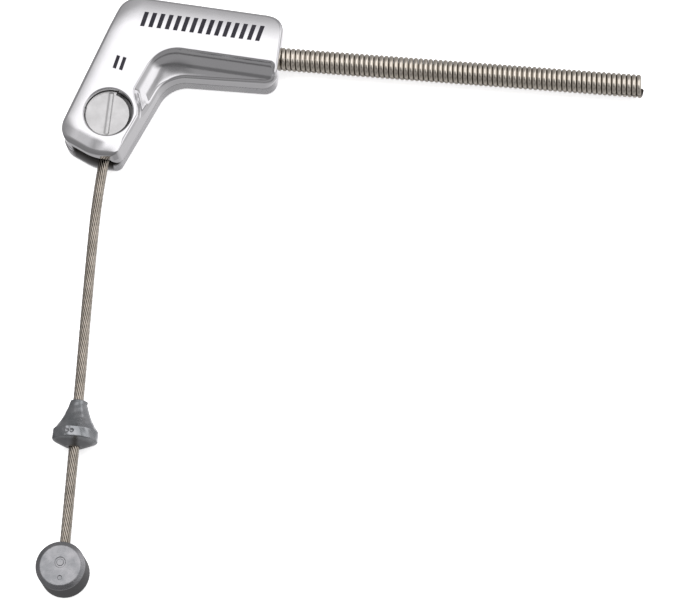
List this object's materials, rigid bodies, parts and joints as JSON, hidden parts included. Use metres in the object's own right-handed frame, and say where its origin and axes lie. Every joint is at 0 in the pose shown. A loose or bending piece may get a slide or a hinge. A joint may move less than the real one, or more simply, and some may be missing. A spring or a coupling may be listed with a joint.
{
  "type": "cantilever brake link wire carrier",
  "caption": "Elbow-shaped brake cable carrier with a turning link button, a short stranded link wire with cone and barrel end, and a coil conduit.",
  "frame": {"origin": "on the carrier's flat back, on the link button's pivot axis", "axes": "+X along the conduit, away from the carrier; +Z out of the polished front, along the button's axis; the link wire leaves along -Y"},
  "size_m": [0.0828, 0.0885, 0.0074],
  "materials": {
    "polished_alloy": "polished, soft reflections, rounded edges",
    "satin_alloy": "satin, lightly brushed",
    "rivet_steel": "flush heads, brushed",
    "liner_nylon": "off-white, smooth",
    "collar_brass": "turned",
    "coil_steel": "warm stainless spring wire, round section",
    "button_zinc": "light cast zinc, tumbled",
    "wire_steel": "stranded stainless wire",
    "cast_zinc": "blue-grey cast zinc, matte"
  },
  "bodies": {
    "carrier": {"front_housing": "polished_alloy", "back_cover": "satin_alloy", "cover_rivets": "rivet_steel", "cable_liner": "liner_nylon", "conduit_collar": "collar_brass", "conduit_coil": "coil_steel"},
    "link": {"link_button": "button_zinc", "link_wire": "wire_steel", "wire_cone": "cast_zinc", "barrel_end": "cast_zinc"}
  },
  "joints": [
    {"name": "link_swing", "type": "hinge", "parent": "carrier", "child": "link", "pos_m": [0, 0, 0.0036], "axis": [0, 0, -1], "range_deg": [0, 36]}
  ]
}
